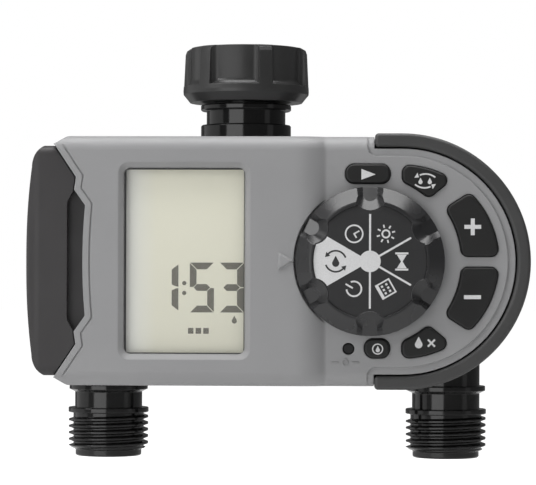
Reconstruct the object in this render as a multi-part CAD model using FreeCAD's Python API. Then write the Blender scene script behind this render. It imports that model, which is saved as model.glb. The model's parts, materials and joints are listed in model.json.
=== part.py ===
import FreeCAD, Part
import math
import os

from FreeCAD import Vector

# A two-outlet hose-tap timer for drip irrigation.  Millimetres.  X runs along the case, -Y is the
# front with the display and the dial, +Z is up.  The solids are drawn with Z = 0 at the height of
# the dial's centre, and are lowered by INLET_TOP when they are saved, so that the origin of the
# saved part is the centre of the inlet nut's mouth, with the tap's thread coming down along Z.

# ---- Driving dimensions -------------------------------------------------------------------
INLET_TOP = 72.3          # the nut's mouth above the dial's centre
CASE_HALF = 40.6          # half the height of the case
CASE_LEFT = -61.0         # left end of the shells
END_X = 52.8              # centre of the round right end
LEFT_VALVE_X = -46.5
RIGHT_VALVE_X = 68.0
VALVE_XS = {"left": LEFT_VALVE_X, "right": RIGHT_VALVE_X}
DIAL_X = 42.4

# Planes from front to back
FACE_Y = -42.0            # raised part that holds the display
PANEL_Y = -38.8           # lower panel that holds the dial and the buttons
PARTING_Y = -12.6         # joint between the two shells
BACK_Y = 17.0

# Shells
SHELL_WALL = 1.8
PANEL_WALL = 1.6
EDGE_RADIUS = 4.6         # long front edges of the case
BACK_RADIUS = 4.0
CORNER_STEP = 5.0         # the left corners are cut off by this much along the case
CORNER_CUT = 3.2          # and by this much of its height
RAMP_START = 18.6         # where the raised part starts to roll down to the panel
RAMP_CROWN = 14.5         # radius at the top of the ramp
RAMP_FOOT = 2.0           # radius at its foot
REAR_INSET = 0.9          # the back shell is this much smaller all round
REAR_WALL = 2.0

# Bumper and the shelf beside it
BUMPER_START = 43.7
BUMPER_OUTER = 41.6
BUMPER_INNER = 36.6
BUMPER_REAR_Y = -20.0
BUMPER_GAP = 0.5
SHELF_START = 41.5
SHELF_INNER = 34.2
SHELF_DEPTH = 0.7

# Display
WINDOW_LEFT = -37.2
WINDOW_RIGHT = 1.7
WINDOW_HALF = 30.0
WINDOW_BEVEL = 2.0
LENS_FRONT_Y = -40.1
LENS_THICKNESS = 1.2
LCD_FRONT_Y = -38.0
LCD_BACK_Y = -35.2

# Circuit board stack behind the panel
BOARD_FRONT_Y = -33.7
BOARD_BACK_Y = -32.3
MAT_FRONT_Y = -34.4
MAT_BACK_Y = -33.9
DOME_FRONT_Y = -35.2

# Buttons
BUTTON_FRONT_Y = -39.8
BUTTON_FLANGE_Y = -37.0
BUTTON_BACK_Y = -36.2
BUTTON_GAP = 0.25
BUTTON_FLANGE = 0.9
BUTTON_CORNER = 2.3
BUTTON_INSET = 0.3        # the curved keys' sides stand this far inside their circles
BLOCK_CORNER = 2.8        # corners of the two straight keys
KEY_OUTER = 31.5          # outer edge of the curved keys, about the round end's centre
KEY_INNER = 29.3          # inner edge of plus and minus, about the dial's centre
SMALL_KEY_INNER = 27.5    # inner edge of station and manual, about the dial's centre

# Dial
DIAL_RADIUS = 24.1
DIAL_FRONT_Y = -46.6
DIAL_REAR_Y = -39.3
DIAL_GAP = 0.6            # between the dial's rim and the ramp hollowed out for it
FACE_RADIUS = 18.3
FACE_FRONT_Y = -46.1
FACE_BACK_Y = -45.1
SPINDLE_RADIUS = 3.0
RUNNING_GAP = 0.06
NOTCH_COUNT = 6
NOTCH_LIP = 0.4           # strip of the knob between a notch and the printed face
NOTCH_OUTER = 30.1        # the notches are drawn out to here, past the rim
NOTCH_FRONT = {"rim_y": -47.0, "slope": 0.0, "centre": 20.55, "radius": 5.25, "mouth": 21.0}
NOTCH_FLOOR = {"rim_y": -40.9, "slope": 0.58, "centre": 21.7, "radius": 2.3, "mouth": 2.5}

# Battery drawer
TRAY_FRONT_Y = -31.1
TRAY_BACK_Y = -15.3
TRAY_LEFT = -54.0
TRAY_RIGHT = -18.9
TRAY_HALF = 28.4
SLIDE_GAP = 0.2
SLEEVE_WALL = 0.8
CELL_RADIUS = 7.05
CELL_LENGTH = 50.5
CELL_XS = (-41.3, -26.9)
GRIP_FRONT_Y = -41.4
GRIP_BACK_Y = -14.3
GRIP_GAP = 0.4

# Hose thread, 3/4 inch with 11.5 turns to the inch
THREAD_PITCH = 25.4 / 11.5
THREAD_CREST = 13.5
THREAD_ROOT = 11.95
MALE_THREAD_LENGTH = 11.8

# Outlets, by height
OUTLET_TOP = -18.1
FLANGE_TOP = -41.6
FLANGE_BOTTOM = -43.4
NECK_TOP = -44.1
COLLAR_TOP = -49.4
COLLAR_BOTTOM = -51.1
THREAD_END = -63.7
OUTLET_END = -65.8
NECK_RADIUS = 11.4
PILOT_RADIUS = 11.2
OUTLET_BORE = 8.7

# Inlet
NUT_BOTTOM = 53.9
NUT_FLOOR = 57.0
NUT_BORE = 10.7
STEM_NECK = 10.62
LEAD_IN_RADIUS = 14.2
LEAD_IN_DEPTH = 2.0
NUT_CAVITY = 13.75
FEMALE_CREST = 12.55
FLUTE_COUNT = 6
FLUTE_TURN = 261.5        # direction of the flute nearest to the front, degrees from +X
FLUTE_HALF_ANGLE = 23.8
FLUTE_FLOOR = 18.6        # radius of the flutes' floor
FLUTE_BOTTOM = 59.2
FLUTE_CORNER = 2.0
STEM_BORE = 8.9

# Valves, by height
VALVE_RADIUS = 12.4
SEAT_TOP = -6.0
CHAMBER_TOP = -3.0
BONNET_BOTTOM = -1.9
BONNET_TOP = 6.0
DISC_RADIUS = 7.2
DISC_BOTTOM = -5.85
DISC_TOP = -2.4
CORE_TOP = 24.9
CORE_BORE = 3.5
PLUNGER_BOTTOM = 6.4
PLUNGER_TOP = 18.5
COIL_BOTTOM = 7.5
COIL_TOP = 23.2
COIL_RADIUS = 9.3
CROSS_PIPE_Z = -10.0

CASE_SCREWS = [(x, z) for x in (-30.0, 20.0, 50.0) for z in (-32.6, 32.6)]
BOARD_SCREWS = [(12.0, -35.0), (12.0, 35.0), (29.5, -33.0), (29.5, 33.0)]
WELL_FLOOR_Y = -6.0
RESET_PLACE = (35.5, -28.3)
RESET_RADIUS = 1.95

FAR = 200.0
FRONT = Vector(0, -1, 0)
UP = Vector(0, 0, 1)


# ---- Drawing helpers ----------------------------------------------------------------------
def box(x0, x1, y0, y1, z0, z1):
    return Part.makeBox(x1 - x0, y1 - y0, z1 - z0, Vector(x0, y0, z0))


def rod_y(radius, x, z, y0, y1):
    return Part.makeCylinder(radius, y1 - y0, Vector(x, y0, z), Vector(0, 1, 0))


def disc_y(radius, x, y):
    return Part.Face(Part.Wire(Part.makeCircle(radius, Vector(x, y, 0), Vector(0, 1, 0))))


def rod_z(radius, x, z0, z1):
    return Part.makeCylinder(radius, z1 - z0, Vector(x, 0, z0), UP)


def rod_x(radius, x0, x1, y, z):
    return Part.makeCylinder(radius, x1 - x0, Vector(x0, y, z), Vector(1, 0, 0))


def join(shapes):
    whole = shapes[0].fuse(list(shapes[1:])) if len(shapes) > 1 else shapes[0]
    return whole.removeSplitter()


def turned(profile, x, axis="z", centre_z=0.0):
    """Solid of revolution of (radius, along) points about the Z or the Y axis through x."""
    points = []
    for radius, along in profile:
        if axis == "z":
            points.append(Vector(x + radius, 0, along))
        else:
            points.append(Vector(x + radius, along, centre_z))
    points.append(points[0])
    face = Part.Face(Part.makePolygon(points))
    direction = UP if axis == "z" else Vector(0, 1, 0)
    return face.revolve(Vector(x, 0, centre_z), direction, 360)


def rounded_wire(corners, place):
    """Closed wire of straight sides with rounded corners (a, b, radius)."""
    flat = [Vector(c[0], c[1], 0) for c in corners]
    starts, middles, ends = [], [], []
    for index, corner in enumerate(corners):
        here = flat[index]
        before = (flat[index - 1] - here).normalize()
        after = (flat[(index + 1) % len(flat)] - here).normalize()
        radius = corner[2] if len(corner) > 2 else 0.0
        half_turn = before.getAngle(after) / 2
        reach = radius / math.tan(half_turn)
        starts.append(here + before * reach)
        ends.append(here + after * reach)
        bisector = before + after
        depth = radius / math.sin(half_turn) - radius
        middles.append(here + bisector.normalize() * depth if radius else here)
    edges = []
    for index in range(len(corners)):
        if starts[index].distanceToPoint(ends[index]) > 1e-6:
            arc = Part.Arc(place(starts[index]), place(middles[index]), place(ends[index]))
            edges.append(arc.toShape())
        following = starts[(index + 1) % len(corners)]
        if ends[index].distanceToPoint(following) > 1e-6:
            edges.append(Part.makeLine(place(ends[index]), place(following)))
    return Part.Wire(edges)


def front_plate(corners, y0, y1):
    """Prism of an outline seen from the front."""
    wire = rounded_wire(corners, lambda p: Vector(p.x, y0, p.y))
    return Part.Face(wire).extrude(Vector(0, y1 - y0, 0))


def plan_prism(corners):
    """Prism of an outline seen from above."""
    wire = rounded_wire(corners, lambda p: Vector(p.x, p.y, -FAR))
    return Part.Face(wire).extrude(Vector(0, 0, 2 * FAR))


def side_prism(corners):
    """Prism of a section across the case, given as (y, z) corners."""
    wire = rounded_wire(corners, lambda p: Vector(-FAR, p.x, p.y))
    return Part.Face(wire).extrude(Vector(2 * FAR, 0, 0))


def soften(shape, radius, wanted):
    """Rounds the edges that the test picks, and leaves the shape as it is if that can't be done."""
    edges = [edge for edge in shape.Edges if wanted(edge)]
    try:
        rounded = shape.makeFillet(radius, edges)
        return rounded if rounded.isValid() else shape
    except Exception as problem:
        print("left sharp:", problem)
        return shape


def in_plane(edge, y):
    bound = edge.BoundBox
    return abs(bound.YMin - y) < 1e-4 and abs(bound.YMax - y) < 1e-4


# ---- Outlines of the case -----------------------------------------------------------------
def case_outline(inset):
    half = CASE_HALF - inset
    left = CASE_LEFT + inset
    right = END_X + half
    cut_z = half - CORNER_CUT
    cut_x = left + CORNER_STEP
    return [(left, -cut_z, 1.0), (cut_x, -half, 2.0), (right, -half, half),
            (right, half, half), (cut_x, half, 2.0), (left, cut_z, 1.0)]


def end_band(start, inner, outer, y0, y1, corner=0.0):
    """Band round the right end: two straight arms joined by half a ring."""
    ring = rod_y(outer, END_X, 0, y0, y1).cut(rod_y(inner, END_X, 0, y0 - 1, y1 + 1))
    ring = ring.common(box(END_X, END_X + FAR, y0, y1, -FAR, FAR))
    arms = []
    for sign in (-1, 1):
        near, far = sign * inner, sign * outer
        arms.append(front_plate([(start, near, corner), (END_X, near), (END_X, far), (start, far)],
                                y0, y1))
    return join([ring] + arms)


def grip_outline(gap):
    """Face of the drawer's end: bulging on the left, stepped on the right, grown by a gap."""
    x0, z0 = -63.6, 37.4
    left_top = Vector(-67.5, 0, 30.5)
    right = [(-60.3, 37.4), (-53.4, 27.0), (-54.0, 22.9), (-50.4, 17.8)]
    middle = Vector(-51.2, 0, 0)

    def mirrored(point):
        return Vector(point.x, 0, -point.z)

    upper = [Vector(x, 0, z) for x, z in right]
    shoulder = Vector(x0, 0, z0)
    bulge = Vector(-66.4, 0, 34.5)
    edges = [Part.makeLine(shoulder, upper[0])]
    for first, second in zip(upper, upper[1:]):
        edges.append(Part.makeLine(first, second))
    edges.append(Part.Arc(upper[-1], middle, mirrored(upper[-1])).toShape())
    for first, second in reversed(list(zip(upper, upper[1:]))):
        edges.append(Part.makeLine(mirrored(second), mirrored(first)))
    edges.append(Part.makeLine(mirrored(upper[0]), mirrored(shoulder)))
    edges.append(Part.Arc(mirrored(shoulder), mirrored(bulge), mirrored(left_top)).toShape())
    edges.append(Part.Arc(mirrored(left_top), Vector(-69.7, 0, 0), left_top).toShape())
    edges.append(Part.Arc(left_top, bulge, shoulder).toShape())
    face = Part.Face(Part.Wire(edges))
    if gap == 0:
        return face
    return face.makeOffset2D(gap, 2, False, False, True)


def grip_prism(gap, y0, y1):
    face = grip_outline(gap)
    face.translate(Vector(0, y0, 0))
    return face.extrude(Vector(0, y1 - y0, 0))


# ---- Buttons ------------------------------------------------------------------------------
def curved_key(corners, inner, grow, y0, y1):
    """Key with round corners, between a circle about the round end and one about the dial."""
    face = Part.Face(rounded_wire(corners, lambda p: Vector(p.x, y0, p.y)))
    face = face.common(disc_y(KEY_OUTER, END_X, y0)).cut(disc_y(inner, DIAL_X, y0)).Faces[0]
    face = face.makeOffset2D(-BUTTON_CORNER - BUTTON_INSET, 2, False, False, True)
    face = face.makeOffset2D(BUTTON_CORNER + grow, 0, False, False, True)
    return face.extrude(Vector(0, y1 - y0, 0))


def plus_block(grow, y0, y1, sign=1):
    corners = [(60, sign * 1.5), (90, sign * 1.5), (90, sign * 30), (76, sign * 23.6),
               (66.2, sign * 17.4), (60, sign * 17.4)]
    return curved_key(corners, KEY_INNER, grow, y0, y1)


def station_block(grow, y0, y1, sign=1):
    corners = [(52.5, sign * 15), (52.5, sign * 40), (75, sign * 40), (68.7, sign * 26.2),
               (61.0, sign * 19.9), (58.5, sign * 15)]
    return curved_key(corners, SMALL_KEY_INNER, grow, y0, y1)


def rounded_block(x0, x1, z0, z1, grow, y0, y1):
    radius = BLOCK_CORNER + grow
    return front_plate([(x0 - grow, z0 - grow, radius), (x1 + grow, z0 - grow, radius),
                        (x1 + grow, z1 + grow, radius), (x0 - grow, z1 + grow, radius)], y0, y1)


BUTTONS = {
    "start": (lambda g, a, b: rounded_block(34.4, 48.8, 25.3, 31.5, g, a, b), (41.6, 28.4)),
    "rain": (lambda g, a, b: rounded_block(40.7, 48.8, -31.2, -25.0, g, a, b), (44.8, -28.1)),
    "station": (lambda g, a, b: station_block(g, a, b), (59.0, 25.9)),
    "manual": (lambda g, a, b: station_block(g, a, b, -1), (59.0, -25.9)),
    "plus": (lambda g, a, b: plus_block(g, a, b), (75.4, 11.2)),
    "minus": (lambda g, a, b: plus_block(g, a, b, -1), (75.4, -11.2)),
}


def button(name):
    block = BUTTONS[name][0]
    cap = block(0.0, BUTTON_FRONT_Y, BUTTON_FLANGE_Y + 0.1)
    cap = soften(cap, 0.7, lambda edge: in_plane(edge, BUTTON_FRONT_Y))
    return join([cap, block(BUTTON_FLANGE, BUTTON_FLANGE_Y, BUTTON_BACK_Y)])


def reset_button():
    x, z = RESET_PLACE
    pin = rod_y(RESET_RADIUS - 0.1, x, z, PANEL_Y + 0.7, BUTTON_FLANGE_Y + 0.1)
    pin = soften(pin, 0.5, lambda edge: in_plane(edge, PANEL_Y + 0.7))
    return join([pin, rod_y(RESET_RADIUS + 0.8, x, z, BUTTON_FLANGE_Y, BUTTON_BACK_Y)])


# ---- Shells -------------------------------------------------------------------------------
def ramp_section(inset, wall, drop, z):
    """Front shell seen from above: raised face, S-shaped ramp and lower panel, moved back."""
    face, panel = FACE_Y + inset + drop, PANEL_Y + wall + drop
    left, right = CASE_LEFT - 0.02, END_X + CASE_HALF + 0.02
    crown, foot = RAMP_CROWN - inset, RAMP_FOOT + wall
    slope = math.acos(1 - (panel - face) / (crown + foot))
    ramp_end = RAMP_START + (crown + foot) * math.sin(slope)

    def on_crown(angle):
        return Vector(RAMP_START + crown * math.sin(angle),
                      face + crown * (1 - math.cos(angle)), z)

    def on_foot(angle):
        return Vector(ramp_end - foot * math.sin(angle),
                      panel - foot * (1 - math.cos(angle)), z)

    left_front, left_back = Vector(left, face, z), Vector(left, 0, z)
    right_front, right_back = Vector(right, panel, z), Vector(right, 0, z)
    return Part.Wire([
        Part.makeLine(left_front, on_crown(0)),
        Part.Arc(on_crown(0), on_crown(slope / 2), on_crown(slope)).toShape(),
        Part.Arc(on_crown(slope), on_foot(slope / 2), on_foot(0)).toShape(),
        Part.makeLine(on_foot(0), right_front), Part.makeLine(right_front, right_back),
        Part.makeLine(right_back, left_back), Part.makeLine(left_back, left_front)])


def front_block(inset, wall):
    """Outline of the case under a front whose section is carried over the rounded long edges."""
    half = CASE_HALF - inset
    radius = EDGE_RADIUS - inset

    def on_edge(turn, side):
        return Vector(0, radius * (1 - math.sin(turn)),
                      side * (half - radius * (1 - math.cos(turn))))

    quarter = math.pi / 2
    path = Part.Wire([
        Part.Arc(on_edge(0, -1), on_edge(quarter / 2, -1), on_edge(quarter, -1)).toShape(),
        Part.makeLine(on_edge(quarter, -1), on_edge(quarter, 1)),
        Part.Arc(on_edge(quarter, 1), on_edge(quarter / 2, 1), on_edge(0, 1)).toShape()])
    sweep = Part.BRepOffsetAPI.MakePipeShell(path)
    sweep.setTrihedronMode(Vector(0, 0, 0), UP)
    sweep.add(ramp_section(inset, wall, radius, -half))
    sweep.build()
    sweep.makeSolid()
    return front_plate(case_outline(inset), FACE_Y - 1, PARTING_Y).common(sweep.shape())


def window_cut():
    """Bevelled opening of the display, wider at the face than at the lens."""
    middle = (WINDOW_LEFT + WINDOW_RIGHT) / 2
    half_width = (WINDOW_RIGHT - WINDOW_LEFT) / 2
    rings = []
    for y, grow, radius in ((FACE_Y - 0.02, WINDOW_BEVEL, 3.4), (LENS_FRONT_Y, 0.0, 2.0)):
        corners = []
        for sx, sz in ((-1, -1), (1, -1), (1, 1), (-1, 1)):
            corners.append((middle + sx * (half_width + grow), sz * (WINDOW_HALF + grow), radius))
        rings.append(rounded_wire(corners, lambda p, y=y: Vector(p.x, y, p.y)))
    bevel = Part.makeLoft(rings, True, True)
    through = Part.Face(rings[1]).extrude(Vector(0, 2.0, 0))
    return join([bevel, through])


def pointer():
    """Raised triangle with sloping sides that points at the dial."""
    rings = []
    for y, left, right, half in ((FACE_Y + 0.2, 12.6, 18.2, 3.1), (FACE_Y - 0.8, 13.3, 16.9, 2.1)):
        corners = [(left, -half), (right, 0.0), (left, half)]
        rings.append(rounded_wire(corners, lambda p, y=y: Vector(p.x, y, p.y)))
    return Part.makeLoft(rings, True, True)


def grip_groove():
    """Fine groove in the face, a little outside the drawer's end."""
    outside = grip_prism(2.9, FACE_Y - 1, FACE_Y + 0.35)
    return outside.cut(grip_prism(2.45, FACE_Y - 2, FACE_Y + 1))


def front_housing():
    shell = front_block(0, 0)
    cavity = front_block(SHELL_WALL, PANEL_WALL)
    cavity = cavity.fuse(front_plate(case_outline(SHELL_WALL), PARTING_Y - 1, PARTING_Y + 1))
    cavity = cavity.cut(end_band(BUMPER_START - SHELL_WALL, BUMPER_INNER - SHELL_WALL,
                                 FAR, FACE_Y - 1, BUMPER_REAR_Y + SHELL_WALL))
    cavity = cavity.cut(grip_prism(GRIP_GAP + 2.0, FACE_Y - 1, PARTING_Y + 2))
    cavity = cavity.cut(rod_y(DIAL_RADIUS + DIAL_GAP + PANEL_WALL, DIAL_X, 0,
                              FACE_Y - 1, PANEL_Y + PANEL_WALL))
    shell = shell.cut(cavity)
    shell = shell.cut(rod_y(DIAL_RADIUS + DIAL_GAP, DIAL_X, 0, FACE_Y - 1, PANEL_Y))
    shell = shell.cut(grip_prism(GRIP_GAP, FACE_Y - 1, GRIP_BACK_Y + SLIDE_GAP))
    shell = shell.cut(end_band(BUMPER_START, BUMPER_INNER, FAR, FACE_Y - 1, BUMPER_REAR_Y))
    sunk = front_block(0, 0)
    sunk.translate(Vector(0, SHELF_DEPTH, 0))
    shelf = end_band(SHELF_START, SHELF_INNER, FAR, FACE_Y - 1, BUMPER_REAR_Y, 3.0)
    shell = shell.cut(shelf.cut(sunk))
    shell = shell.cut(grip_groove())
    shell = shell.cut(window_cut())
    shell = shell.cut(box(-58, -46, TRAY_FRONT_Y - SLIDE_GAP, TRAY_BACK_Y + SLIDE_GAP,
                          -TRAY_HALF - SLIDE_GAP, TRAY_HALF + SLIDE_GAP))
    for block, _ in BUTTONS.values():
        shell = shell.cut(block(BUTTON_GAP, PANEL_Y - 1, PANEL_Y + 3))
    additions = [pointer()]
    for x, z in CASE_SCREWS:
        outward = math.copysign(1, z)
        additions.append(rod_y(3.0, x, z, -24.0, PARTING_Y))
        low, high = sorted((z, outward * (CASE_HALF - 1)))
        additions.append(box(x - 1, x + 1, -17.0, PARTING_Y, low, high))
    for x, z in BOARD_SCREWS:
        front = FACE_Y + 1 if x < RAMP_START else PANEL_Y + 1
        additions.append(rod_y(2.2, x, z, front, BOARD_FRONT_Y))
    for sign in (-1, 1):
        additions.append(rod_y(0.9, DIAL_X + sign * 7.0, -12.4, PANEL_Y + 1, -36.6))
    shell = join([shell] + additions)
    x, z = RESET_PLACE
    shell = shell.cut(rod_y(RESET_RADIUS, x, z, PANEL_Y - 1, PANEL_Y + 3))
    shell = shell.cut(rod_y(SPINDLE_RADIUS + RUNNING_GAP, DIAL_X, 0, PANEL_Y - 1, PANEL_Y + 3))
    shell = shell.cut(rod_y(5.1, DIAL_X, 0, PANEL_Y - 1, PANEL_Y + 0.9))
    for x, z in CASE_SCREWS:
        shell = shell.cut(rod_y(1.45, x, z, -22.0, PARTING_Y + 1))
    for x, z in BOARD_SCREWS:
        shell = shell.cut(rod_y(1.15, x, z, PANEL_Y + 1.9, BOARD_FRONT_Y + 1))
    return shell


def side_bumper():
    band = end_band(BUMPER_START + 0.15, BUMPER_INNER + BUMPER_GAP, BUMPER_OUTER,
                    PANEL_Y + 0.1, BUMPER_REAR_Y - 0.1)

    def end_corner(edge):
        bound = edge.BoundBox
        return bound.XMax < BUMPER_START + 0.2 and bound.YLength > 5

    def front_edge_at(wanted_reach):
        def test(edge):
            middle = edge.valueAt((edge.FirstParameter + edge.LastParameter) / 2)
            reach = abs(middle.z) if middle.x < END_X else math.hypot(middle.x - END_X, middle.z)
            return in_plane(edge, PANEL_Y + 0.1) and abs(reach - wanted_reach) < 0.01
        return test

    band = soften(band, 1.3, end_corner)
    band = soften(band, 2.4, front_edge_at(BUMPER_OUTER))
    return soften(band, 1.2, front_edge_at(BUMPER_INNER + BUMPER_GAP))


def rear_block(inset, back):
    half = CASE_HALF - inset
    radius = BACK_RADIUS - (inset - REAR_INSET)
    block = front_plate(case_outline(inset), PARTING_Y, back)
    section = [(PARTING_Y - 1, -half), (back, -half, radius), (back, half, radius),
               (PARTING_Y - 1, half)]
    left, right = CASE_LEFT + inset, END_X + half
    plan = [(left, PARTING_Y - 1), (right, PARTING_Y - 1), (right, back, radius),
            (left, back, radius)]
    return block.common(side_prism(section)).common(plan_prism(plan))


def gasket_ring(width_gap, y1):
    outer = front_plate(case_outline(REAR_INSET + 0.6 + width_gap), PARTING_Y, y1)
    inner = front_plate(case_outline(REAR_INSET + 1.5 - width_gap), PARTING_Y - 1, y1 + 1)
    return outer.cut(inner)


def rear_housing():
    shell = rear_block(REAR_INSET, BACK_Y)
    shell = shell.cut(rear_block(REAR_INSET + REAR_WALL, BACK_Y - REAR_WALL))
    for x, z in CASE_SCREWS:
        outward = math.copysign(1, z)
        low, high = sorted((z, outward * (CASE_HALF - 2)))
        pillar = join([rod_y(4.2, x, z, PARTING_Y, BACK_Y - 1),
                       box(x - 1, x + 1, PARTING_Y, BACK_Y - 3, low, high)])
        shell = shell.fuse(pillar)
    for x, z in CASE_SCREWS:
        shell = shell.cut(rod_y(3.1, x, z, WELL_FLOOR_Y, BACK_Y + 1))
        shell = shell.cut(rod_y(1.6, x, z, PARTING_Y - 1, WELL_FLOOR_Y + 1))
    shell = shell.cut(gasket_ring(0.0, PARTING_Y + 0.9))
    shell = shell.cut(rod_z(11.1, 0, 36.0, 42.0))
    for x in VALVE_XS.values():
        shell = shell.cut(rod_z(NECK_RADIUS + 0.1, x, -42.0, -26.0))
        shell = shell.cut(rod_z(VALVE_RADIUS + 0.15, x, -26.0, BONNET_TOP + 0.5))
    shell = shell.cut(front_plate([(-24, -16, 2), (38, -16, 2), (38, 16, 2), (-24, 16, 2)],
                                  BACK_Y - 0.5, BACK_Y + 1))
    for step in range(5):
        groove_x = 62.0 + 4.0 * step
        shell = shell.cut(front_plate([(groove_x, -14, 0.7), (groove_x + 1.4, -14, 0.7),
                                       (groove_x + 1.4, 14, 0.7), (groove_x, 14, 0.7)],
                                      BACK_Y - 0.7, BACK_Y + 1))
    return shell


def case_screws():
    screws = []
    for x, z in CASE_SCREWS:
        head = rod_y(2.7, x, z, WELL_FLOOR_Y, WELL_FLOOR_Y + 2.0)
        head = soften(head, 0.6, lambda edge: in_plane(edge, WELL_FLOOR_Y + 2.0))
        head = head.cut(box(x - 1.6, x + 1.6, WELL_FLOOR_Y + 1.0, BACK_Y, z - 0.35, z + 0.35))
        head = head.cut(box(x - 0.35, x + 0.35, WELL_FLOOR_Y + 1.0, BACK_Y, z - 1.6, z + 1.6))
        screws.append(join([head, rod_y(1.4, x, z, -21.5, WELL_FLOOR_Y)]))
    return Part.makeCompound(screws)


# ---- Battery drawer -----------------------------------------------------------------------
def battery_grip():
    body = grip_prism(0, GRIP_FRONT_Y, GRIP_BACK_Y)
    plan = [(-69.8, GRIP_BACK_Y, 3.0), (-69.8, GRIP_FRONT_Y, 5.0), (-40, GRIP_FRONT_Y),
            (-40, GRIP_BACK_Y)]
    section = [(GRIP_BACK_Y, -37.4, 2.0), (GRIP_FRONT_Y, -37.4, 3.2), (GRIP_FRONT_Y, 37.4, 3.2),
               (GRIP_BACK_Y, 37.4, 2.0)]
    body = body.common(plan_prism(plan)).common(side_prism(section))
    scoop = front_plate([(-55.9, -19.0, 3.0), (-53.2, -24.0, 1.0), (-45, -24), (-45, 24),
                         (-53.2, 24.0, 1.0), (-55.9, 19.0, 3.0)], GRIP_FRONT_Y - 1, -38.0)
    body = body.cut(scoop)
    body = body.cut(grip_prism(-2.2, -36.0, GRIP_BACK_Y - 1.8))
    socket = box(TRAY_LEFT, -46, TRAY_FRONT_Y, TRAY_BACK_Y, -TRAY_HALF, TRAY_HALF)
    return body.cut(socket)


def battery_tray():
    wall = 0.8
    block = box(TRAY_LEFT, TRAY_RIGHT, TRAY_FRONT_Y, TRAY_BACK_Y, -TRAY_HALF, TRAY_HALF)
    block = block.cut(grip_prism(-2.2, TRAY_FRONT_Y - 1, TRAY_BACK_Y + 1))
    left = CELL_XS[0] - CELL_RADIUS - 0.1
    right = CELL_XS[1] + CELL_RADIUS + 0.1
    block = block.cut(box(left, right, TRAY_FRONT_Y - 1, TRAY_BACK_Y - wall,
                          wall - TRAY_HALF, TRAY_HALF - wall))
    groove = box(-46.8, -45.8, TRAY_FRONT_Y - 1, TRAY_BACK_Y + 1, -TRAY_HALF - 1, TRAY_HALF + 1)
    keep = box(-47, -45, TRAY_FRONT_Y + 0.45, TRAY_BACK_Y - 0.3, 0.5 - TRAY_HALF,
               TRAY_HALF - 0.5)
    return block.cut(groove.cut(keep))


def drawer_seal():
    ring = box(-46.75, -45.85, TRAY_FRONT_Y - 0.12, TRAY_BACK_Y + 0.12,
               -TRAY_HALF - 0.12, TRAY_HALF + 0.12)
    return ring.cut(box(-47, -45, TRAY_FRONT_Y + 0.45, TRAY_BACK_Y - 0.3,
                        0.5 - TRAY_HALF, TRAY_HALF - 0.5))


def cell_centre_y():
    return (TRAY_FRONT_Y + TRAY_BACK_Y) / 2 - 0.3


def battery_cell(x):
    """One cell, standing on its flat end."""
    low = -CELL_LENGTH / 2
    profile = [(0, low), (6.3, low), (CELL_RADIUS, low + 0.6), (CELL_RADIUS, -low - 2.0),
               (6.4, -low - 1.4), (2.7, -low - 1.4), (2.7, -low), (0, -low)]
    cell = turned(profile, x)
    cell.translate(Vector(0, cell_centre_y(), 0))
    return cell


def coil_spring(x, y, z0, z1, radius, wire, turns):
    """Open compression spring of round wire, its helix made of quarter-turn arcs."""
    rise = (z1 - z0 - 2 * wire) / turns / 4

    def on_helix(quarters):
        turn = math.radians(90 * quarters)
        return Vector(x + radius * math.cos(turn), y + radius * math.sin(turn),
                      z0 + wire + rise * quarters)

    arcs = []
    for quarter in range(4 * turns):
        ends = on_helix(quarter), on_helix(quarter + 0.5), on_helix(quarter + 1)
        arcs.append(Part.Arc(*ends).toShape())
    start = arcs[0].tangentAt(arcs[0].FirstParameter)
    section = Part.Wire(Part.makeCircle(wire, on_helix(0), start))
    return Part.Wire(arcs).makePipeShell([section], True, True)


def tray_contacts():
    """Plates at both ends of the cells and a short spring under each."""
    y = cell_centre_y()
    end = CELL_LENGTH / 2
    plates = []
    for x in CELL_XS:
        plates.append(box(x - 5, x + 5, y - 5, y + 5, end, end + 0.5))
        plates.append(box(x - 5, x + 5, y - 5, y + 5, -end - 2.3, -end - 1.8))
        plates.append(coil_spring(x, y, -end - 1.8, -end, 2.5, 0.2, 2))
    return Part.makeCompound(plates)


def battery_sleeve():
    """Fixed pocket that the drawer slides in."""
    gap, wall = SLIDE_GAP, SLEEVE_WALL
    outer = box(-56, TRAY_RIGHT + gap + wall, TRAY_FRONT_Y - gap - wall, TRAY_BACK_Y + gap + wall,
                -TRAY_HALF - gap - wall, TRAY_HALF + gap + wall)
    outer = outer.cut(grip_prism(GRIP_GAP + 2.1, -60, 0))
    inner = box(-57, TRAY_RIGHT + gap, TRAY_FRONT_Y - gap, TRAY_BACK_Y + gap,
                -TRAY_HALF - gap, TRAY_HALF + gap)
    sleeve = outer.cut(inner)
    for z in (-10.0, 10.0):
        sleeve = sleeve.cut(box(-20, -15, -25, -21, z - 1.5, z + 1.5))
    return sleeve


def sleeve_contacts():
    """Two spring-metal tabs through the pocket's inner end."""
    x = TRAY_RIGHT + SLIDE_GAP
    return Part.makeCompound([box(x - 0.1, x + 2.2, -24.6, -21.4, z - 1.2, z + 1.2)
                              for z in (-10.0, 10.0)])


# ---- Display and board --------------------------------------------------------------------
def display_window():
    return front_plate([(-39.9, -32.6, 2), (4.4, -32.6, 2), (4.4, 32.6, 2), (-39.9, 32.6, 2)],
                       LENS_FRONT_Y + 0.02, LENS_FRONT_Y + LENS_THICKNESS)


def lcd_panel():
    return box(-39.0, 3.5, LCD_FRONT_Y, LCD_BACK_Y, -31.8, 31.8)


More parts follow.
